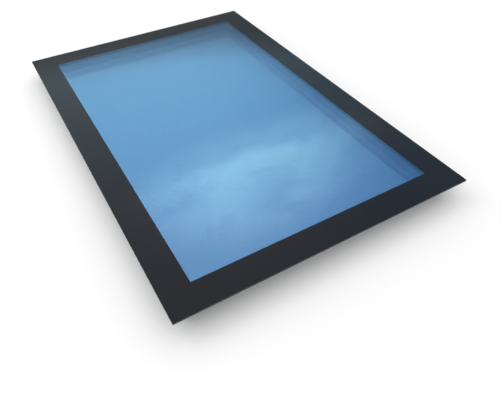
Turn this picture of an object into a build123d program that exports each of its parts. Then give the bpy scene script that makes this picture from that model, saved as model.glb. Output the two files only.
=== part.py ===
"""A flat glass rooflight: a stepped triple-glazed unit on a thermally broken kerb frame.

Millimetres, +Z up. X runs along the short edges and Y along the long ones. The origin lies in the
middle of the skirt's lower edge, where the frame would stand on a table. A rail's section is drawn
with its inset from the edge of the outer pane and its height above the skirt's lower edge.
"""

from build123d import *
import os

os.makedirs("parts", exist_ok=True)

# Outer pane
GLASS_WIDTH = 1000
GLASS_LENGTH = 1500
OUTER_PANE = 6
GLASS_CORNER = 3
GLASS_ARRIS = 0.8

# The enamelled border on its underside
ENAMEL = 0.2
ENAMEL_MARGIN = 1
ENAMEL_PAST_SPACER = 5

# The panes and cavities below it
CAVITY = 14
MIDDLE_PANE = 4
INNER_PANE = 6
INNER_ARRIS = 0.5

# Spacer bars, their keys and seals
SPACER_DEPTH = 7
SPACER_WALL = 0.5
SPACER_BEVEL = 2.5
BUTYL = 0.3
BUTYL_MARGIN = 0.5
KEY_LEG = 28
KEY_CLEARANCE = 0.1
EDGE_SEAL_DEPTH = 9

# Frame, in section
FRAME_INSET = 31
OUTER_BOX = 14
BREAK_GAP = 10
INNER_BOX = 12
BOX_WALL = 2
EDGE_RADIUS = 1
BOND_GAP = 5
EDGE_CLEARANCE = 2

# Ledge under the unit, with the lip that hides the gasket
LEDGE = 2.5
LEDGE_PAST_SPACER = 3
LIP_WIDTH = 2.5
LIP_DROP = 2.5

# Skirt over the kerb
SKIRT_COVER = 20
SKIRT_WALL = 2.5
FIXING_HOLE = 5.5
FIXING_HEIGHT = 9
FIXING_PITCH = 400
LONG_SIDE_FIXING_COUNT = 4
SHORT_SIDE_FIXING_COUNT = 2

# Plastic strips of the thermal break
BREAK_WEB = 2
BREAK_FOOT = 4
BREAK_FOOT_DEPTH = 2.4

# Corner cleats and their pins
CLEAT_CLEARANCE = 0.2
CLEAT_ARM = 48
PIN = 4
PIN_CLEARANCE = 0.1
PIN_FROM_CORNER = 30
PIN_IN_CLEAT = 12
PIN_RECESS = 0.4

# Bead, tapes, packers and gasket
BEAD_INSET = 1.5
BEAD_WIDTH = 7
BEAD_HOLLOW = 1.2
SPACER_TAPE_WIDTH = 4.5
INNER_TAPE_WIDTH = 9
LEDGE_TAPE = 1.8
LEDGE_TAPE_INSET = 3
LEDGE_TAPE_WIDTH = 12
PACKER_LENGTH = 60
PACKER_SHARE = 1 / 3
GASKET = 4
GASKET_GROOVE = 1.5
GASKET_GROOVE_WIDTH = 4
GASKET_LAND_COUNT = 3

# Insets from the edge of the outer pane
outer_box_out = FRAME_INSET
outer_box_in = outer_box_out + OUTER_BOX
inner_box_out = outer_box_in + BREAK_GAP
inner_box_in = inner_box_out + INNER_BOX
unit_edge = inner_box_in + EDGE_CLEARANCE
spacer_back = unit_edge + EDGE_SEAL_DEPTH
spacer_front = spacer_back + SPACER_DEPTH
border = spacer_front + ENAMEL_PAST_SPACER
ledge_end = spacer_front + LEDGE_PAST_SPACER

# Heights above the skirt's lower edge
seat = SKIRT_COVER
frame_base = seat + GASKET
ledge_top = frame_base + LEDGE
inner_pane_base = ledge_top + LEDGE_TAPE
inner_pane_top = inner_pane_base + INNER_PANE
middle_pane_base = inner_pane_top + CAVITY
middle_pane_top = middle_pane_base + MIDDLE_PANE
enamel_base = middle_pane_top + CAVITY
outer_pane_base = enamel_base + ENAMEL
outer_pane_top = outer_pane_base + OUTER_PANE
frame_top = enamel_base - BOND_GAP

# The bosses inside the boxes that hold the plastic strips
outer_boss_out = outer_box_in - BREAK_FOOT_DEPTH - BOX_WALL
inner_boss_in = inner_box_out + BREAK_FOOT_DEPTH + BOX_WALL
boss_height = BREAK_FOOT + 2 * BOX_WALL
upper_break_height = frame_top - BOX_WALL - boss_height / 2
lower_break_height = frame_base + BOX_WALL + boss_height / 2

# The cleats lie between the bosses. A pin enters each arm of an outer one from the rail's base
cleat_base = lower_break_height + boss_height / 2 + CLEAT_CLEARANCE
cleat_top = upper_break_height - boss_height / 2 - CLEAT_CLEARANCE
cleat_end = inner_box_in + CLEAT_ARM
pin_distance = inner_box_in + PIN_FROM_CORNER
pin_hole_top = cleat_base + PIN_IN_CLEAT
pin_inset = (outer_box_out + BOX_WALL + outer_boss_out) / 2

# Each side by name: its length, where its edge's middle lies, and its turn about Z
SIDES = {
    "front": (GLASS_WIDTH, (0, -GLASS_LENGTH / 2), 0),
    "right": (GLASS_LENGTH, (GLASS_WIDTH / 2, 0), 90),
    "back": (GLASS_WIDTH, (0, GLASS_LENGTH / 2), 180),
    "left": (GLASS_LENGTH, (-GLASS_WIDTH / 2, 0), 270),
}
CORNERS = [(-1, -1), (1, -1), (1, 1), (-1, 1)]


# Shapes that repeat


def section(*points):
    """A filled outline from (inset, height) points."""
    return make_face(Polyline(*points, close=True))


def box_section(inset_a, inset_b, bottom, top):
    """An upright rectangle in a rail's section."""
    return section((inset_a, bottom), (inset_b, bottom), (inset_b, top), (inset_a, top))


def rounded(face, points, radius):
    """The section with the corners at these points rounded."""
    corners = [v for v in face.vertices() if any((Vector(*p) - Vector(v)).length < 0.01 for p in points)]
    return fillet(corners, radius)


def placed(solid, side):
    """A solid drawn at the front edge's middle, moved to a side."""
    length, (x, y), turn = SIDES[side]
    return Pos(x, y, 0) * Rot(0, 0, turn) * solid


def mitred_bar(profile, side):
    """A bar of this section along a side, with its ends cut at 45 degrees on the corners' diagonals."""
    half = SIDES[side][0] / 2
    depth = border + GLASS_CORNER
    plan = Polygon((-half, 0), (half, 0), (half - depth, depth), (depth - half, depth), align=None)
    bar = extrude(Plane.YZ * profile, amount=half, both=True)
    return placed(bar & extrude(plan, amount=outer_pane_top), side)


def mitred_ring(profile):
    """One closed ring of this section all round, as one solid."""
    bars = [mitred_bar(profile, side) for side in SIDES]
    return bars[0].fuse(*bars[1:]).clean()


def square_bar(profile, side, end_inset):
    """A bar of this section along a side, cut square at this inset from both edges that it meets."""
    return placed(extrude(Plane.YZ * profile, amount=SIDES[side][0] / 2 - end_inset, both=True), side)


def flat_ring(outer_inset, inner_inset, bottom, top):
    """A flat ring between two insets."""
    plan = plan_at(outer_inset) - plan_at(inner_inset)
    return extrude(Pos(0, 0, bottom) * plan, amount=top - bottom)


def plan_at(inset):
    """The rectangle that lies at an inset from the edge of the outer pane."""
    return Rectangle(GLASS_WIDTH - 2 * inset, GLASS_LENGTH - 2 * inset)


def at_corner(corner, inset_x, inset_y):
    """The point at these insets from the two edges that meet at a corner."""
    return (corner[0] * (GLASS_WIDTH / 2 - inset_x), corner[1] * (GLASS_LENGTH / 2 - inset_y))


def corner_plan(corner, points):
    """A filled plan from points given by their insets from the two edges at a corner."""
    return make_face(Polyline(*[at_corner(corner, *p) for p in points], close=True))


def centred(count, pitch):
    """Places along a side, evenly spaced about its middle."""
    return [pitch * (i - (count - 1) / 2) for i in range(count)]


def save(name, *solids):
    """Write a node's STEP file from one solid or more."""
    shape = solids[0] if len(solids) == 1 else Compound(children=list(solids))
    shape.label = name
    export_step(shape, f"parts/{name}.step")


# The glass and its border


def pane(inset, bottom, thickness, corner, arris):
    """A flat pane with rounded corners and ground edges."""
    plan = plan_at(inset)
    plan = fillet(plan.vertices(), corner)
    solid = extrude(Pos(0, 0, bottom) * plan, amount=thickness)
    faces = [solid.faces().sort_by(Axis.Z)[0], solid.faces().sort_by(Axis.Z)[-1]]
    return chamfer([edge for face in faces for edge in face.edges()], arris)


def enamel_border():
    """The fired border, set in from the pane's ground edge."""
    outline = plan_at(ENAMEL_MARGIN)
    outline = fillet(outline.vertices(), GLASS_CORNER)
    return extrude(Pos(0, 0, enamel_base) * (outline - plan_at(border)), amount=ENAMEL)


save("outer_pane", pane(0, outer_pane_base, OUTER_PANE, GLASS_CORNER, GLASS_ARRIS))
save("enamel_border", enamel_border())
save("middle_pane", pane(unit_edge, middle_pane_base, MIDDLE_PANE, GLASS_CORNER, INNER_ARRIS))
save("inner_pane", pane(unit_edge, inner_pane_base, INNER_PANE, GLASS_CORNER, INNER_ARRIS))


# Spacer bars, keys, desiccant and seals of one cavity


def spacer_outline(cavity_base):
    """The outline of a bar, with its two back corners cut off."""
    bottom = cavity_base + BUTYL
    top = cavity_base + CAVITY - BUTYL
    return section(
        (spacer_front, bottom),
        (spacer_front, top),
        (spacer_back + SPACER_BEVEL, top),
        (spacer_back, top - SPACER_BEVEL),
        (spacer_back, bottom + SPACER_BEVEL),
        (spacer_back + SPACER_BEVEL, bottom),
    )


def spacer_hollow(cavity_base):
    """The hollow inside a bar's wall."""
    return offset(spacer_outline(cavity_base), amount=-SPACER_WALL, kind=Kind.INTERSECTION)


def spacer_bar(cavity_base, side):
    """A hollow bar, cut square where the corner keys' heads begin."""
    return square_bar(spacer_outline(cavity_base) - spacer_hollow(cavity_base), side, spacer_front)


def corner_key(cavity_base, corner, ring):
    """A key: a head in the corner, cut from the ring of the bars' outline, and a leg into each bar."""
    square = [(spacer_back, spacer_back), (spacer_front, spacer_back)]
    square += [(spacer_front, spacer_front), (spacer_back, spacer_front)]
    head = ring & extrude(Pos(0, 0, cavity_base) * corner_plan(corner, square), amount=CAVITY)
    leg_inset = SPACER_WALL + KEY_CLEARANCE
    leg_back = spacer_back + SPACER_BEVEL + leg_inset
    leg_front = spacer_front - leg_inset
    leg_end = spacer_front + KEY_LEG
    leg_plan = [(leg_back, leg_back), (leg_end, leg_back), (leg_end, leg_front)]
    leg_plan += [(leg_front, leg_front), (leg_front, leg_end), (leg_back, leg_end)]
    bottom = cavity_base + BUTYL + leg_inset
    height = CAVITY - 2 * (BUTYL + leg_inset)
    return head + extrude(Pos(0, 0, bottom) * corner_plan(corner, leg_plan), amount=height)


def desiccant(cavity_base, side):
    """The drying fill of one bar, between its keys' legs."""
    return square_bar(spacer_hollow(cavity_base), side, spacer_front + KEY_LEG)


def butyl_beads(cavity_base):
    """The two thin beads that seal the bars to the panes below and above them."""
    outer = spacer_back + SPACER_BEVEL + BUTYL_MARGIN
    inner = spacer_front - BUTYL_MARGIN
    above = cavity_base + CAVITY
    beads = [(cavity_base, cavity_base + BUTYL), (above - BUTYL, above)]
    return [flat_ring(outer, inner, bottom, top) for bottom, top in beads]


def edge_seal(cavity_base):
    """The secondary seal, which fills the unit's edge behind the bars and up to the beads."""
    low, high = cavity_base, cavity_base + CAVITY
    bead = spacer_back + SPACER_BEVEL + BUTYL_MARGIN
    bar_low, bar_high = low + BUTYL, high - BUTYL
    profile = section(
        (unit_edge, low),
        (unit_edge, high),
        (bead, high),
        (bead, bar_high),
        (spacer_back + SPACER_BEVEL, bar_high),
        (spacer_back, bar_high - SPACER_BEVEL),
        (spacer_back, bar_low + SPACER_BEVEL),
        (spacer_back + SPACER_BEVEL, bar_low),
        (bead, bar_low),
        (bead, low),
    )
    return mitred_ring(profile)


for cavity, cavity_base in (("upper", middle_pane_top), ("lower", inner_pane_top)):
    for side in SIDES:
        save(f"{cavity}_spacer_{side}", spacer_bar(cavity_base, side))
    ring = mitred_ring(spacer_outline(cavity_base))
    save(f"{cavity}_corner_keys", *[corner_key(cavity_base, corner, ring) for corner in CORNERS])
    save(f"{cavity}_desiccant", *[desiccant(cavity_base, side) for side in SIDES])
    save(f"{cavity}_butyl_seal", *butyl_beads(cavity_base))
    save(f"{cavity}_edge_seal", edge_seal(cavity_base))


# The two aluminium shells and the plastic strips between them


def break_strip_section(height):
    """A strip: a thin web between the shells with a dovetail foot in each."""
    web = BREAK_WEB / 2
    foot = BREAK_FOOT / 2
    out, into = outer_box_in, inner_box_out
    return section(
        (out - BREAK_FOOT_DEPTH, height - foot),
        (out, height - web),
        (into, height - web),
        (into + BREAK_FOOT_DEPTH, height - foot),
        (into + BREAK_FOOT_DEPTH, height + foot),
        (into, height + web),
        (out, height + web),
        (out - BREAK_FOOT_DEPTH, height + foot),
    )


def chamber(box_out, box_in, boss_out, boss_in):
    """A box's chamber: what its two bosses leave of its inside."""
    hollow = box_section(box_out + BOX_WALL, box_in - BOX_WALL, frame_base + BOX_WALL, frame_top - BOX_WALL)
    for height in (upper_break_height, lower_break_height):
        hollow -= box_section(boss_out, boss_in, height - boss_height / 2, height + boss_height / 2)
    return hollow


def without_pockets(shell):
    """A shell's section less the dovetail pockets of the plastic strips."""
    for height in (upper_break_height, lower_break_height):
        shell -= break_strip_section(height)
    return shell


def outer_shell_section():
    """The outer box with the skirt that hangs from its inner wall."""
    skirt_out = outer_box_in - SKIRT_WALL
    outline = section(
        (outer_box_out, frame_base),
        (outer_box_out, frame_top),
        (outer_box_in, frame_top),
        (outer_box_in, 0),
        (skirt_out, 0),
        (skirt_out, frame_base),
    )
    outline = rounded(outline, [(outer_box_out, frame_base), (outer_box_out, frame_top)], EDGE_RADIUS)
    outline = rounded(outline, [(outer_box_in, 0), (skirt_out, 0)], min(EDGE_RADIUS, SKIRT_WALL / 3))
    return without_pockets(outline - chamber(outer_box_out, outer_box_in, outer_boss_out, outer_box_in))


def inner_shell_section():
    """The inner box with the ledge under the unit and the lip at the ledge's end."""
    lip_base = frame_base - LIP_DROP
    lip_out = ledge_end - LIP_WIDTH
    outline = section(
        (inner_box_out, frame_base),
        (inner_box_out, frame_top),
        (inner_box_in, frame_top),
        (inner_box_in, ledge_top),
        (ledge_end, ledge_top),
        (ledge_end, lip_base),
        (lip_out, lip_base),
        (lip_out, frame_base),
    )
    lip_corners = [(ledge_end, ledge_top), (ledge_end, lip_base), (lip_out, lip_base)]
    outline = rounded(outline, lip_corners, min(EDGE_RADIUS, LIP_WIDTH / 3))
    return without_pockets(outline - chamber(inner_box_out, inner_box_in, inner_box_out, inner_boss_in))


def pin_places():
    """The plan places of the pins: two beside each corner, one in each rail."""
    insets = [(pin_distance, pin_inset), (pin_inset, pin_distance)]
    return [at_corner(corner, *pair) for corner in CORNERS for pair in insets]


def pin_holes():
    """The holes of the pins, through the rails' base wall and into the cleats."""
    hole = Cylinder((PIN + PIN_CLEARANCE) / 2, pin_hole_top - frame_base)
    return [Pos(x, y, (frame_base + pin_hole_top) / 2) * hole for x, y in pin_places()]


def fixing_holes(side):
    """The holes through a side's skirt for the screws into the kerb."""
    count = LONG_SIDE_FIXING_COUNT if side in ("left", "right") else SHORT_SIDE_FIXING_COUNT
    hole = Rot(90, 0, 0) * Cylinder(FIXING_HOLE / 2, 4 * SKIRT_WALL)
    middle = outer_box_in - SKIRT_WALL / 2
    return [placed(Pos(x, middle, FIXING_HEIGHT) * hole, side) for x in centred(count, FIXING_PITCH)]


for side in SIDES:
    outer_rail = mitred_bar(outer_shell_section(), side)
    save(f"outer_rail_{side}", outer_rail.cut(*pin_holes(), *fixing_holes(side)))
    save(f"inner_rail_{side}", mitred_bar(inner_shell_section(), side))
    save(f"upper_break_{side}", mitred_bar(break_strip_section(upper_break_height), side))
    save(f"lower_break_{side}", mitred_bar(break_strip_section(lower_break_height), side))


# Corner cleats and pins


def cleat(corner, box_out, box_in):
    """An angle in a box's chamber that reaches into both rails at a corner."""
    out = box_out + BOX_WALL + CLEAT_CLEARANCE
    into = box_in - BOX_WALL - CLEAT_CLEARANCE
    plan = [(out, out), (cleat_end, out), (cleat_end, into)]
    plan += [(into, into), (into, cleat_end), (out, cleat_end)]
    return extrude(Pos(0, 0, cleat_base) * corner_plan(corner, plan), amount=cleat_top - cleat_base)


def pin(x, y):
    """One pin, a little below the rail's base."""
    bottom = frame_base + PIN_RECESS
    return Pos(x, y, (bottom + pin_hole_top) / 2) * Cylinder(PIN / 2, pin_hole_top - bottom)


for number, corner in enumerate(CORNERS, start=1):
    save(f"outer_cleat_{number}", cleat(corner, outer_box_out, outer_box_in).cut(*pin_holes()))
    save(f"inner_cleat_{number}", cleat(corner, inner_box_out, inner_box_in))
save("corner_pins", *[pin(x, y) for x, y in pin_places()])


# Bead, tapes, packers and gasket


def bead_section():
    """The structural bead, with the hollow face that a tooling knife leaves."""
    out = outer_box_out + BEAD_INSET
    into = out + BEAD_WIDTH
    hollow = ThreePointArc(
        (out, frame_top), (out + BEAD_HOLLOW, (frame_top + enamel_base) / 2), (out, enamel_base)
    )
    rest = Polyline((out, enamel_base), (into, enamel_base), (into, frame_top), (out, frame_top))
    return make_face(hollow + rest)


def gasket_section():
    """A flat gasket with grooves on its underside that leave flat lands."""
    out = inner_box_out
    into = ledge_end - LIP_WIDTH
    profile = box_section(out, into, seat, frame_base)
    grooves = GASKET_LAND_COUNT - 1
    land = (into - out - grooves * GASKET_GROOVE_WIDTH) / GASKET_LAND_COUNT
    for number in range(grooves):
        start = out + land + number * (land + GASKET_GROOVE_WIDTH)
        profile -= box_section(start, start + GASKET_GROOVE_WIDTH, seat, seat + GASKET_GROOVE)
    return profile


def edge_packer(x, side):
    """One packer between the unit's edge and the inner box, as tall as the two lower panes' edges."""
    profile = box_section(inner_box_in, unit_edge, inner_pane_base, middle_pane_top)
    bar = extrude(Plane.YZ * profile, amount=PACKER_LENGTH / 2, both=True)
    return placed(Pos(x, 0, 0) * bar, side)


def tape(outer_inset, width, bottom, top):
    """A tape all round, from its outer edge's inset and its width."""
    return flat_ring(outer_inset, outer_inset + width, bottom, top)


bead_in = outer_box_out + BEAD_INSET + BEAD_WIDTH
inner_tape_out = (inner_box_out + inner_box_in - INNER_TAPE_WIDTH) / 2
ledge_tape_out = unit_edge + LEDGE_TAPE_INSET
save("structural_silicone", mitred_ring(bead_section()))
save("spacer_tape", tape(bead_in, SPACER_TAPE_WIDTH, frame_top, enamel_base))
save("inner_glazing_tape", tape(inner_tape_out, INNER_TAPE_WIDTH, frame_top, enamel_base))
save("ledge_tape", tape(ledge_tape_out, LEDGE_TAPE_WIDTH, ledge_top, inner_pane_base))
packers = []
for side, (length, middle, turn) in SIDES.items():
    packers += [edge_packer(x, side) for x in (-PACKER_SHARE * length, PACKER_SHARE * length)]
save("edge_packers", *packers)
save("seat_gasket", mitred_ring(gasket_section()))
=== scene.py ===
import math

import bmesh
import bpy
from mathutils import Matrix, Vector


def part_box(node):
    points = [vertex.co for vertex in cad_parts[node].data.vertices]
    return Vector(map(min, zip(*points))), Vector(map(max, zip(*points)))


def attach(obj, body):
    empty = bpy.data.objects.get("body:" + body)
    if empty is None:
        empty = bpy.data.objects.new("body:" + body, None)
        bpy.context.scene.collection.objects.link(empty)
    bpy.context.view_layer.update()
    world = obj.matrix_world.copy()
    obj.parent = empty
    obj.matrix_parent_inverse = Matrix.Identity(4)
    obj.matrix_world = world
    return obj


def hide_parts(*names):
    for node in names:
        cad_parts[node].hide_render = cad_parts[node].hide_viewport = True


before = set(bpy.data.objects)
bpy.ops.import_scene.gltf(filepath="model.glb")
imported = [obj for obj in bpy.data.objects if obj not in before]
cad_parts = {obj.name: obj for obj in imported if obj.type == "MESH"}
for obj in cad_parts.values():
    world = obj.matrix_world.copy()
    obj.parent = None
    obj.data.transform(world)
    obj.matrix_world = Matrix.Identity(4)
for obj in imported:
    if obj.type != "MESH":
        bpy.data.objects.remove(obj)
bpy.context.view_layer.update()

# Sizes are in metres. MM turns a size in millimetres into metres.
MM = 0.001

# Camera of the photograph
CAMERA_PLACE = (-0.6415, -1.381, 1.082)
CAMERA_YAW = 29.72  # degrees from +Y towards +X
CAMERA_PITCH = -44.40
CAMERA_ROLL = -0.96
CAMERA_LENS = 34.63  # millimetres
CAMERA_SENSOR = 36  # millimetres across

# Floor
FLOOR_RADIUS = 9.0
FLOOR_SIDES = 96
FLOOR_FADES_FROM = 2.0
FLOOR_WHITE = (0.95, 0.95, 0.95)
FLOOR_TONE = 0.99  # what its slightly darker places keep of that
FLOOR_MOTTLE = 0.9  # how far those places are across

# Even light from all round, and two round lamps: place, diameter and watts
ROOM_LIGHT = 1.02
KEY_LIGHT = ((-2.2, 1.6, 3.2), 2.5, 22)
UNDER_LIGHT = ((0.3, -0.3, -1.6), 1.2, 25)

# The dome that only shiny surfaces see: height of the direction above the horizon, where the top is
# 1, and the light that comes from there
DOME_STOPS = [
    (0.00, (0.86, 0.90, 0.95)),
    (0.35, (0.38, 0.42, 0.46)),
    (0.42, (0.42, 0.48, 0.54)),
    (0.47, (0.77, 0.98, 1.13)),
    (0.52, (0.79, 1.01, 1.16)),
    (0.72, (0.80, 0.85, 1.08)),
    (0.84, (0.75, 0.77, 0.94)),
    (1.00, (0.55, 0.62, 0.80)),
]

# Its darker side
SHADE = (0.48, 0.56, 0.68)  # what it keeps of that light
SHADED_SIDE = 100.0  # its azimuth, degrees from +Y towards +X
SHADE_EDGE = (0.15, 0.6)  # how far towards it the shade starts and is full, on a dome of radius 1

# Its long soft bright patch, also on a dome of radius 1
PATCH_LIGHT = (0.86, 0.74, 0.50)  # what it adds in its middle
PATCH_ENDS = ((16.0, 43.0), (43.0, 36.0))  # azimuth and height of its two ends, degrees
PATCH_LENGTH = 0.26  # from its middle to an end
PATCH_BELOW = 0.08  # from its middle line towards the horizon
PATCH_ABOVE = 0.15  # from its middle line towards the top of the dome
PATCH_FADE = 1.3  # where it has faded out, as a share of those reaches
STREAKS_FROM = 6.3  # the place in the noise that its streaks are taken from
STREAK_NOISE = {"Scale": 2.2, "Detail": 5.0, "Distortion": 0.8}
STREAK_EDGE = (0.35, 0.65)  # the noise of a dark streak and of a light one
STREAK_DARK = 0.5  # what a dark streak keeps of the patch

# Bounces that three panes of glass need
BOUNCES = 16
MIRROR_BOUNCES = 10
SEE_THROUGH_BOUNCES = 64

# Outer pane, as in the CAD model
ENAMEL_WIDTH = 90 * MM
ENAMEL_CORNER = 1 * MM
PANE_CORNER = 3 * MM
ARRIS = 0.8 * MM
CORNER_STEPS = 6

# Colours, each from 0 to 1
WHITE = (1.0, 1.0, 1.0)
BORDER_BLACKS = ((0.0034, 0.0042, 0.0038), (0.0044, 0.0052, 0.0048))
EDGE_GREENS = ((0.008, 0.015, 0.013), (0.018, 0.032, 0.028))
# painted shade that stands for the inside of the spacer's pinholes
HOLE_PAINTED_SHADE = (0.004, 0.004, 0.004)

# Glass faces: the tint of what passes, the colour of what is mirrored, and the share mirrored head on
BARE_GLASS = ((0.95, 0.97, 0.965), WHITE, 0.042)
SOLAR_COATING = ((0.83, 0.91, 0.96), (0.285, 0.57, 0.88), 0.264)
LOW_E_FILM = ((0.55, 0.62, 0.64), (0.84, 0.98, 0.88), 0.52)
GRAZE_RISE = 5.0  # how steeply they mirror more towards a graze

# Glass surfaces: roughness of their clean and their smudged places, and the rollers' waves
GLASS_POLISH = (0.003, 0.010)
BORDER_POLISH = (0.02, 0.05)
BORDER_SHINE = 0.34
BORDER_MOTTLE = 0.2  # how far its lighter and darker places are across
SMUDGE = 0.12  # how far a smudge is across
SMUDGED_FROM = 0.35  # the noise where smudges begin
WAVE = 0.28  # how far a wave is across
WAVE_STRETCH = (0.35, 1, 1)  # which makes the waves longer along X
WAVE_DEPTH = 0.03 * MM

# Ground edge of the outer pane
GRIT = 0.6 * MM  # how far a grain is across
GRIT_DEPTH = 0.02 * MM
GROUND_ROUGHNESS = (0.22, 0.42)

# All other surfaces
NOISE_LOW = 0.3  # most of a noise lies between these
NOISE_HIGH = 0.7
ROUGHNESS_SWING = 0.06  # how far roughness goes up and down with the grain

# Powder coat: its orange peel and its mitre lines
PEEL = 2.2 * MM
PEEL_DEPTH = 0.12 * MM
MITRE_LINE = 0.25 * MM
MITRE_CORE = 0.2  # the share of the line that is fully dark
MITRE_DARK = 0.25  # what it keeps of the coat's colour
MITRE_DEPTH = 0.12 * MM

# Spacer perforations
HOLE_PITCH = 6 * MM
HOLE_RADIUS = 0.55 * MM
HOLE_CORE = 0.7  # the share of the hole that is fully dark with painted shade
HOLE_ROW = 1.1 * MM  # each of the two rows lies this far from the bar's middle
HOLE_DEPTH = 0.2 * MM

# Foam and beads, with painted shade at each cell's rim and painted light at its middle
CELL_EDGE = (0.1, 0.7)  # how far from its middle, in cells, a cell's painted shade starts and is darkest
CELL_RIM_SHADE = 0.55  # what its rim keeps of the colour under painted shade
CELL_MIDDLE_LIGHT = 1.25  # the same for its middle, lightened as painted light

# The grain of what is drawn or extruded, which is longer along the bars
LENGTHWISE = (0.06, 0.06, 1)
DRAWN = (0.05, 0.05, 1)
TOOLED = (0.25, 0.25, 1)

glass_low, glass_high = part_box("outer_pane")
inner_low, inner_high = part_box("inner_pane")
upper_spacer_low, upper_spacer_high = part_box("upper_spacer_front")
lower_spacer_low, lower_spacer_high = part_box("lower_spacer_front")


# Node helpers

def new_tree(name):
    """An empty material with its node tree."""
    material = bpy.data.materials.new(name)
    material.use_nodes = True
    tree = material.node_tree
    tree.nodes.clear()
    return material, tree


def add(tree, kind, inputs=None, **settings):
    """A node with its settings. An input is a value, or a socket that is linked to it."""
    node = tree.nodes.new(kind)
    for key, value in settings.items():
        setattr(node, key, value)
    for key, value in (inputs or {}).items():
        if isinstance(value, bpy.types.NodeSocket):
            tree.links.new(value, node.inputs[key])
        else:
            node.inputs[key].default_value = value
    return node


def maths(tree, operation, *values):
    """The result of a Math node."""
    return add(tree, "ShaderNodeMath", dict(enumerate(values)), operation=operation).outputs[0]


def length(tree, vector):
    """The length of a vector."""
    return add(tree, "ShaderNodeVectorMath", {0: vector}, operation="LENGTH").outputs["Value"]


def dot(tree, vector, axis):
    """How far a vector reaches along an axis."""
    return add(tree, "ShaderNodeVectorMath", {0: vector, 1: axis}, operation="DOT_PRODUCT").outputs["Value"]


def parts(tree, vector):
    """A vector's X, Y and Z by name."""
    return add(tree, "ShaderNodeSeparateXYZ", {0: vector}).outputs


def spread(tree, value, low, high, to_low, to_high, smooth=False):
    """value stretched from low..high to to_low..to_high, and held inside it."""
    node = add(tree, "ShaderNodeMapRange", {
        "Value": value, "From Min": low, "From Max": high, "To Min": to_low, "To Max": to_high,
    }, interpolation_type="SMOOTHSTEP" if smooth else "LINEAR")
    return node.outputs["Result"]


def place(tree, stretch=(1, 1, 1)):
    """The point on the object in metres, stretched along each axis."""
    point = add(tree, "ShaderNodeTexCoord").outputs["Object"]
    return add(tree, "ShaderNodeMapping", {"Vector": point, "Scale": stretch}).outputs["Vector"]


def noise(tree, size, detail=2.0, stretch=(1, 1, 1)):
    """Noise from 0 to 1 whose lumps are about size metres across."""
    return add(tree, "ShaderNodeTexNoise", {
        "Vector": place(tree, stretch), "Scale": 1 / size, "Detail": detail,
    }).outputs["Fac"]


def mix(tree, share, first, second, blend_type="MIX"):
    """A colour between first and second, each of them a colour or a socket."""
    ends = [end if isinstance(end, bpy.types.NodeSocket) else (*end, 1) for end in (first, second)]
    return add(tree, "ShaderNodeMix", {
        "Factor": share, "A": ends[0], "B": ends[1],
    }, data_type="RGBA", blend_type=blend_type).outputs["Result"]


def bump(tree, height, depth, normal=None):
    """A normal roughened by height, which runs from 0 to 1 over depth metres."""
    inputs = {"Height": height, "Distance": depth, "Strength": 1.0}
    if normal is not None:
        inputs["Normal"] = normal
    return add(tree, "ShaderNodeBump", inputs).outputs["Normal"]


def output(tree, shader):
    """Ends a material with its shader."""
    add(tree, "ShaderNodeOutputMaterial", {"Surface": shader})


def linked(shader, name):
    """The socket that is linked to one of the shader's inputs."""
    return shader.inputs[name].links[0].from_socket


def scaled(colour, by):
    """A colour made lighter or darker."""
    return tuple(min(part * by, 1.0) for part in colour)


def graze(tree):
    """0 where a surface is seen straight, rising steeply to 1 at a graze."""
    facing = add(tree, "ShaderNodeLayerWeight", {"Blend": 0.5}).outputs["Facing"]
    return maths(tree, "POWER", facing, GRAZE_RISE)


def rolled(tree):
    """The slight waves that the toughening rollers leave, which only reflections show."""
    return bump(tree, noise(tree, WAVE, detail=1.0, stretch=WAVE_STRETCH), WAVE_DEPTH)


def polish(tree, clean, smudged):
    """Roughness of glass, with faint smudges."""
    return spread(tree, noise(tree, SMUDGE, detail=4.0), SMUDGED_FROM, NOISE_HIGH, clean, smudged)


# Materials

def half_mirror(tree, tint, mirror, head_on):
    """A glass face. It mirrors head_on in the colour mirror, and all light in white at a graze."""
    grazing = graze(tree)
    share = maths(tree, "MULTIPLY_ADD", grazing, 1 - head_on, head_on)
    colour = (*WHITE, 1)
    if mirror != WHITE:
        whiteness = maths(tree, "DIVIDE", grazing, share)
        colour = mix(tree, whiteness, mirror, WHITE)
    mirrored = add(tree, "ShaderNodeBsdfGlossy", {
        "Color": colour,
        "Roughness": polish(tree, *GLASS_POLISH),
        "Normal": rolled(tree),
    })
    through = add(tree, "ShaderNodeBsdfTransparent", {"Color": (*tint, 1)})
    mixed = add(tree, "ShaderNodeMixShader", {0: share, 1: through.outputs[0], 2: mirrored.outputs[0]})
    return mixed.outputs[0]


def glass(name, face):
    """A pane whose two sides are the same face."""
    material, tree = new_tree(name)
    output(tree, half_mirror(tree, *face))
    return material


def low_e_glass():
    """The inner pane, whose upper face has a heat-reflecting film."""
    material, tree = new_tree("low_e_glass")
    height = parts(tree, place(tree))["Z"]
    coated = maths(tree, "GREATER_THAN", height, (inner_low.z + inner_high.z) / 2)
    bare = half_mirror(tree, *BARE_GLASS)
    film = half_mirror(tree, *LOW_E_FILM)
    mixed = add(tree, "ShaderNodeMixShader", {0: coated, 1: bare, 2: film})
    output(tree, mixed.outputs[0])
    return material


def backed_glass():
    """Glass with the black enamel behind it: deep black under a clear shine."""
    material, tree = new_tree("backed_glass")
    shader = add(tree, "ShaderNodeBsdfPrincipled", {
        "Base Color": mix(tree, noise(tree, BORDER_MOTTLE), *BORDER_BLACKS),
        "Roughness": polish(tree, *BORDER_POLISH),
        "Specular IOR Level": BORDER_SHINE,
        "Normal": rolled(tree),
    })
    output(tree, shader.outputs[0])
    return material


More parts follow.
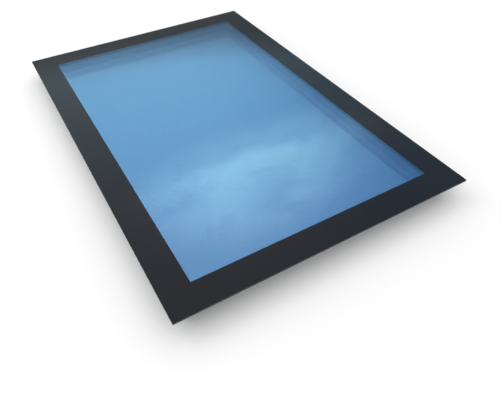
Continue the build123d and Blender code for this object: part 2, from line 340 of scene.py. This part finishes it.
def ground_edge():
    """The pane's ground edge and arris: dark green glass, faintly frosted."""
    material, tree = new_tree("ground_edge")
    ground = noise(tree, GRIT, detail=3.0)
    shader = add(tree, "ShaderNodeBsdfPrincipled", {
        "Base Color": mix(tree, ground, *EDGE_GREENS),
        "Roughness": spread(tree, ground, NOISE_LOW, NOISE_HIGH, *GROUND_ROUGHNESS),
        "Normal": bump(tree, ground, GRIT_DEPTH),
    })
    output(tree, shader.outputs[0])
    return material


def surface(name, colour, tone, roughness, grain, depth, metal=0.0, specular=0.5, stretch=(1, 1, 1),
            broad=80 * MM):
    """A plain surface, as its material, node tree and shader.

    Its tone changes by the share tone over patches that are broad metres across. A finer grain of
    its own size and depth shows in its roughness and its bump.
    """
    material, tree = new_tree(name)
    patch = noise(tree, broad, detail=3.0)
    fine = noise(tree, grain, detail=3.0, stretch=stretch)
    smooth, rough = roughness - ROUGHNESS_SWING, roughness + ROUGHNESS_SWING
    shader = add(tree, "ShaderNodeBsdfPrincipled", {
        "Base Color": mix(tree, patch, scaled(colour, 1 - tone), scaled(colour, 1 + tone)),
        "Roughness": spread(tree, fine, NOISE_LOW, NOISE_HIGH, smooth, rough),
        "Metallic": metal, "Specular IOR Level": specular,
        "Normal": bump(tree, fine, depth),
    })
    output(tree, shader.outputs[0])
    return material, tree, shader


def plain(name, **look):
    """A plain surface's material."""
    return surface(name, **look)[0]


def powder_coat(name, colour, roughness):
    """Baked powder with its orange peel, and a hairline where two rails meet in a mitre."""
    material, tree, shader = surface(name, colour, tone=0.07, roughness=roughness, grain=0.3 * MM,
                                     depth=0.03 * MM)
    coat = bump(tree, noise(tree, PEEL, detail=1.0), PEEL_DEPTH, linked(shader, "Normal"))
    point = parts(tree, place(tree))
    across = maths(tree, "ABSOLUTE", point["X"])
    along = maths(tree, "ABSOLUTE", point["Y"])
    longer = glass_high.y - glass_high.x
    past_mitre = maths(tree, "SUBTRACT", maths(tree, "SUBTRACT", along, across), longer)
    from_mitre = maths(tree, "ABSOLUTE", past_mitre)
    flat = spread(tree, from_mitre, MITRE_CORE * MITRE_LINE, MITRE_LINE, 0.0, 1.0, smooth=True)
    lined = mix(tree, flat, scaled(colour, MITRE_DARK), linked(shader, "Base Color"))
    tree.links.new(lined, shader.inputs["Base Color"])
    tree.links.new(bump(tree, flat, MITRE_DEPTH, coat), shader.inputs["Normal"])
    return material


def perforated(name, colour, roughness):
    """Drawn spacer metal with two rows of pinholes on the faces that look into the cavity, the holes shown
    by a bump and by painted shade.
    """
    material, tree, shader = surface(name, colour, tone=0.1, roughness=roughness, grain=0.4 * MM,
                                     depth=0.006 * MM, metal=1.0, stretch=DRAWN)
    normal = parts(tree, add(tree, "ShaderNodeNewGeometry").outputs["Normal"])
    point = parts(tree, place(tree))
    faces_x = maths(tree, "ABSOLUTE", normal["X"])
    faces_y = maths(tree, "ABSOLUTE", normal["Y"])
    along_y = maths(tree, "MULTIPLY", point["Y"], faces_x)
    along = maths(tree, "MULTIPLY_ADD", point["X"], faces_y, along_y)
    step = maths(tree, "PINGPONG", along, HOLE_PITCH / 2)
    middle = (lower_spacer_low.z + lower_spacer_high.z) / 2
    cavity_pitch = (upper_spacer_low.z + upper_spacer_high.z) / 2 - middle
    height = maths(tree, "PINGPONG", maths(tree, "SUBTRACT", point["Z"], middle), cavity_pitch / 2)
    row = maths(tree, "SUBTRACT", height, HOLE_ROW)
    from_hole = length(tree, add(tree, "ShaderNodeCombineXYZ", {0: step, 1: row}).outputs[0])
    solid = spread(tree, from_hole, HOLE_CORE * HOLE_RADIUS, HOLE_RADIUS, 0.0, 1.0, smooth=True)
    # the pinholes are painted dark as the shade inside them
    tree.links.new(mix(tree, solid, HOLE_PAINTED_SHADE, linked(shader, "Base Color")), shader.inputs["Base Color"])
    tree.links.new(bump(tree, solid, HOLE_DEPTH, linked(shader, "Normal")), shader.inputs["Normal"])
    return material


def cellular(name, colour, roughness, cell, depth):
    """Foam or beads: small round cells that show in bump, with painted shade at their rims and painted
    light at their middles.
    """
    material, tree, shader = surface(name, colour, tone=0.1, roughness=roughness, grain=cell / 3,
                                     depth=depth / 4)
    from_middle = add(tree, "ShaderNodeTexVoronoi", {
        "Vector": place(tree), "Scale": 1 / cell,
    }).outputs["Distance"]
    # painted shade at each cell's rim and painted light at its middle, which also drives the bump
    tone = spread(tree, from_middle, *CELL_EDGE, 1.0, 0.0)
    cell_light_and_shade = mix(tree, tone, scaled(colour, CELL_RIM_SHADE), scaled(colour, CELL_MIDDLE_LIGHT))
    tree.links.new(cell_light_and_shade, shader.inputs["Base Color"])
    tree.links.new(bump(tree, tone, depth), shader.inputs["Normal"])
    return material


LOOKS = {
    "coated_glass": glass("coated_glass", SOLAR_COATING),
    "clear_glass": glass("clear_glass", BARE_GLASS),
    "enamel": plain(
        "black_enamel", colour=(0.0045, 0.005, 0.006), tone=0.1, roughness=0.5,
        grain=0.3 * MM, depth=0.004 * MM, specular=0.12,
    ),
    "frame_grey": powder_coat("grey_powder_coat", colour=(0.040, 0.046, 0.052), roughness=0.42),
    "frame_white": powder_coat("white_powder_coat", colour=(0.80, 0.80, 0.785), roughness=0.36),
    "cleat_aluminium": plain(
        "mill_aluminium", colour=(0.72, 0.72, 0.73), tone=0.05, roughness=0.34,
        grain=0.5 * MM, depth=0.004 * MM, metal=1.0, stretch=LENGTHWISE,
    ),
    "pin_steel": plain(
        "zinc_plate", colour=(0.60, 0.62, 0.63), tone=0.12, roughness=0.28,
        grain=0.4 * MM, depth=0.004 * MM, metal=1.0, broad=3 * MM,
    ),
    "break_plastic": plain(
        "glass_filled_polyamide", colour=(0.022, 0.022, 0.023), tone=0.15, roughness=0.52,
        grain=0.5 * MM, depth=0.02 * MM, stretch=LENGTHWISE,
    ),
    "spacer_metal": perforated("drawn_spacer_metal", colour=(0.13, 0.13, 0.135), roughness=0.4),
    "key_plastic": plain(
        "moulded_nylon", colour=(0.05, 0.05, 0.052), tone=0.1, roughness=0.45,
        grain=0.7 * MM, depth=0.015 * MM,
    ),
    "desiccant": cellular(
        "drying_beads", colour=(0.70, 0.63, 0.52), roughness=0.8, cell=1.2 * MM, depth=0.4 * MM,
    ),
    "butyl": plain(
        "butyl", colour=(0.012, 0.012, 0.013), tone=0.2, roughness=0.3,
        grain=2.5 * MM, depth=0.1 * MM,
    ),
    "edge_seal": plain(
        "edge_silicone", colour=(0.018, 0.018, 0.019), tone=0.15, roughness=0.48,
        grain=3 * MM, depth=0.12 * MM,
    ),
    "silicone": plain(
        "tooled_silicone", colour=(0.016, 0.016, 0.018), tone=0.12, roughness=0.38,
        grain=6 * MM, depth=0.12 * MM, stretch=TOOLED,
    ),
    "tape": cellular(
        "foam_tape", colour=(0.05, 0.05, 0.054), roughness=0.85, cell=0.45 * MM, depth=0.08 * MM,
    ),
    "packer": plain(
        "packer_plastic", colour=(0.06, 0.12, 0.28), tone=0.06, roughness=0.42,
        grain=0.8 * MM, depth=0.02 * MM,
    ),
    "gasket": plain(
        "rubber_gasket", colour=(0.02, 0.02, 0.021), tone=0.12, roughness=0.6,
        grain=0.35 * MM, depth=0.02 * MM, stretch=LENGTHWISE,
    ),
}


def dress():
    """Gives every CAD node the look of its own slot, and the inner pane its film."""
    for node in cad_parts.values():
        for slot in node.material_slots:
            slot.material = LOOKS[slot.material.name.split(".")[0]]
    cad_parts["inner_pane"].material_slots[0].material = low_e_glass()


# Outer pane

def pane_loop(mesh, inset, corner, height):
    """A rounded rectangle of vertices, inset from the pane's edge and anticlockwise seen from above."""
    half_x = glass_high.x - inset - corner
    half_y = glass_high.y - inset - corner
    loop = []
    for quarter, (side_x, side_y) in enumerate([(1, 1), (-1, 1), (-1, -1), (1, -1)]):
        for step in range(CORNER_STEPS + 1):
            angle = math.radians(90 * (quarter + step / CORNER_STEPS))
            loop.append(mesh.verts.new((
                side_x * half_x + corner * math.cos(angle),
                side_y * half_y + corner * math.sin(angle),
                height,
            )))
    return loop


def outer_pane():
    """The outer pane as one closed mesh, with its vision area, black border and ground edge as zones."""
    low, high = glass_low.z, glass_high.z
    arris_corner = PANE_CORNER - ARRIS
    vision, border, edge = range(3)
    mesh = bmesh.new()
    loops = [
        pane_loop(mesh, ENAMEL_WIDTH, ENAMEL_CORNER, low),
        pane_loop(mesh, ARRIS, arris_corner, low),
        pane_loop(mesh, 0, PANE_CORNER, low + ARRIS),
        pane_loop(mesh, 0, PANE_CORNER, high - ARRIS),
        pane_loop(mesh, ARRIS, arris_corner, high),
        pane_loop(mesh, ENAMEL_WIDTH, ENAMEL_CORNER, high),
    ]
    mesh.faces.new(loops[0][::-1]).material_index = vision
    for lower, upper, zone in zip(loops, loops[1:], (border, edge, edge, edge, border)):
        for index, corner in enumerate(lower):
            after = (index + 1) % len(lower)
            face = mesh.faces.new((corner, lower[after], upper[after], upper[index]))
            face.material_index = zone
    mesh.faces.new(loops[-1]).material_index = vision
    data = bpy.data.meshes.new("outer_glass")
    mesh.to_mesh(data)
    mesh.free()
    for look in (LOOKS["coated_glass"], backed_glass(), ground_edge()):
        data.materials.append(look)
    piece = bpy.data.objects.new("outer_glass", data)
    bpy.context.scene.collection.objects.link(piece)
    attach(piece, "root")
    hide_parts("outer_pane")


# Stage, light and camera

def floor_material():
    """Pale and matt, fading out with distance, and clear from below so that the underside can be seen."""
    material, tree = new_tree("pale_floor")
    matt = add(tree, "ShaderNodeBsdfDiffuse", {
        "Color": mix(tree, noise(tree, FLOOR_MOTTLE), scaled(FLOOR_WHITE, FLOOR_TONE), FLOOR_WHITE),
    })
    clear = add(tree, "ShaderNodeBsdfTransparent")
    below = add(tree, "ShaderNodeNewGeometry").outputs["Backfacing"]
    away = length(tree, place(tree))
    faded = spread(tree, away, FLOOR_FADES_FROM, FLOOR_RADIUS, 0.0, 1.0, smooth=True)
    open_share = maths(tree, "MAXIMUM", below, faded)
    mixed = add(tree, "ShaderNodeMixShader", {0: open_share, 1: matt.outputs[0], 2: clear.outputs[0]})
    output(tree, mixed.outputs[0])
    return material


def make_floor():
    """A round floor. It lets lamps through, so that the one below it reaches the object."""
    mesh = bmesh.new()
    bmesh.ops.create_circle(mesh, cap_ends=True, cap_tris=True, segments=FLOOR_SIDES, radius=FLOOR_RADIUS)
    bmesh.ops.recalc_face_normals(mesh, faces=mesh.faces)
    data = bpy.data.meshes.new("floor")
    mesh.to_mesh(data)
    mesh.free()
    if data.polygons[0].normal.z < 0:
        data.flip_normals()
    data.materials.append(floor_material())
    floor = bpy.data.objects.new("floor", data)
    floor.visible_shadow = False
    bpy.context.scene.collection.objects.link(floor)


def direction_of(azimuth, height=0.0):
    """A unit vector, from degrees. The azimuth runs from +Y towards +X."""
    turn, lift = math.radians(azimuth), math.radians(height)
    return Vector((math.sin(turn) * math.cos(lift), math.cos(turn) * math.cos(lift), math.sin(lift)))


def soft_patch(tree, direction):
    """1 in the middle of the dome's long bright patch and 0 around it, with faint streaks along it."""
    start, end = (direction_of(*angles) for angles in PATCH_ENDS)
    middle = (start + end).normalized()
    along = (end - start).normalized()
    down = middle.cross(along)
    away = add(tree, "ShaderNodeVectorMath", {0: direction, 1: middle}, operation="SUBTRACT").outputs[0]

    def point(first, second):
        return add(tree, "ShaderNodeCombineXYZ", {0: first, 1: second}).outputs[0]

    sideways = dot(tree, away, along / PATCH_LENGTH)
    below = dot(tree, away, down / PATCH_BELOW)
    above = dot(tree, away, -down / PATCH_ABOVE)
    from_middle = length(tree, point(sideways, maths(tree, "MAXIMUM", below, above)))
    inside = spread(tree, from_middle, 0.0, PATCH_FADE, 1.0, 0.0, smooth=True)
    height = dot(tree, away, down / PATCH_ABOVE)
    streaks = add(tree, "ShaderNodeTexNoise", {
        "Vector": point(maths(tree, "ADD", sideways, STREAKS_FROM), height), **STREAK_NOISE,
    }).outputs["Fac"]
    kept = spread(tree, streaks, *STREAK_EDGE, STREAK_DARK, 1.0, smooth=True)
    return maths(tree, "MULTIPLY", inside, kept)


def dome_light(tree):
    """The light of the dome in each direction."""
    direction = add(tree, "ShaderNodeTexCoord").outputs["Generated"]
    ramp = add(tree, "ShaderNodeValToRGB", {"Fac": parts(tree, direction)["Z"]})
    elements = ramp.color_ramp.elements
    while len(elements) < len(DOME_STOPS):
        elements.new(0.5)
    for element, (stop, colour) in zip(elements, DOME_STOPS):
        element.position = stop
        element.color = (*colour, 1)
    sideways = dot(tree, direction, direction_of(SHADED_SIDE))
    shaded = spread(tree, sideways, *SHADE_EDGE, 0.0, 1.0, smooth=True)
    light = mix(tree, 1.0, ramp.outputs["Color"], mix(tree, shaded, WHITE, SHADE), "MULTIPLY")
    return mix(tree, soft_patch(tree, direction), light, PATCH_LIGHT, "ADD")


def make_light():
    """Even white light on everything, a soft cool dome in what shines, and a lamp above and below."""
    world = bpy.data.worlds.new("studio")
    bpy.context.scene.world = world
    world.use_nodes = True
    world.cycles.sampling_method = "NONE"
    tree = world.node_tree
    tree.nodes.clear()
    dome = add(tree, "ShaderNodeBackground", {"Color": dome_light(tree), "Strength": 1.0})
    even = add(tree, "ShaderNodeBackground", {"Color": (*WHITE, 1), "Strength": ROOM_LIGHT})
    shines = add(tree, "ShaderNodeLightPath").outputs["Is Glossy Ray"]
    mixed = add(tree, "ShaderNodeMixShader", {0: shines, 1: even.outputs[0], 2: dome.outputs[0]})
    add(tree, "ShaderNodeOutputWorld", {"Surface": mixed.outputs[0]})
    add_softbox("key_light", *KEY_LIGHT)
    add_softbox("under_light", *UNDER_LIGHT)


def add_softbox(name, where, diameter, power):
    """A round soft lamp that faces the object and doesn't show in its reflections."""
    lamp = bpy.data.lights.new(name, "AREA")
    lamp.shape = "DISK"
    lamp.size = diameter
    lamp.energy = power
    softbox = bpy.data.objects.new(name, lamp)
    softbox.location = where
    softbox.rotation_mode = "QUATERNION"
    softbox.rotation_quaternion = softbox.location.to_track_quat("Z", "Y")
    softbox.visible_glossy = False
    softbox.visible_camera = False
    bpy.context.scene.collection.objects.link(softbox)


def make_camera():
    """The camera that took the photograph."""
    forward = direction_of(CAMERA_YAW, CAMERA_PITCH)
    level = direction_of(CAMERA_YAW + 90)
    upright = level.cross(forward)
    roll = math.radians(CAMERA_ROLL)
    right = math.cos(roll) * level + math.sin(roll) * upright
    up = math.cos(roll) * upright - math.sin(roll) * level
    lens = bpy.data.cameras.new("camera")
    lens.lens = CAMERA_LENS
    lens.sensor_width = CAMERA_SENSOR
    camera = bpy.data.objects.new("camera", lens)
    turned = Matrix((right, up, -forward)).transposed().to_4x4()
    camera.matrix_world = Matrix.Translation(CAMERA_PLACE) @ turned
    bpy.context.scene.collection.objects.link(camera)
    bpy.context.scene.camera = camera


def set_rendering():
    """Colours as they are, and enough bounces for three panes of glass."""
    scene = bpy.context.scene
    scene.view_settings.view_transform = "Standard"
    scene.view_settings.look = "None"
    scene.cycles.max_bounces = BOUNCES
    scene.cycles.glossy_bounces = MIRROR_BOUNCES
    scene.cycles.transparent_max_bounces = SEE_THROUGH_BOUNCES
    scene.cycles.use_denoising = True


dress()
outer_pane()
make_floor()
make_light()
make_camera()
set_rendering()
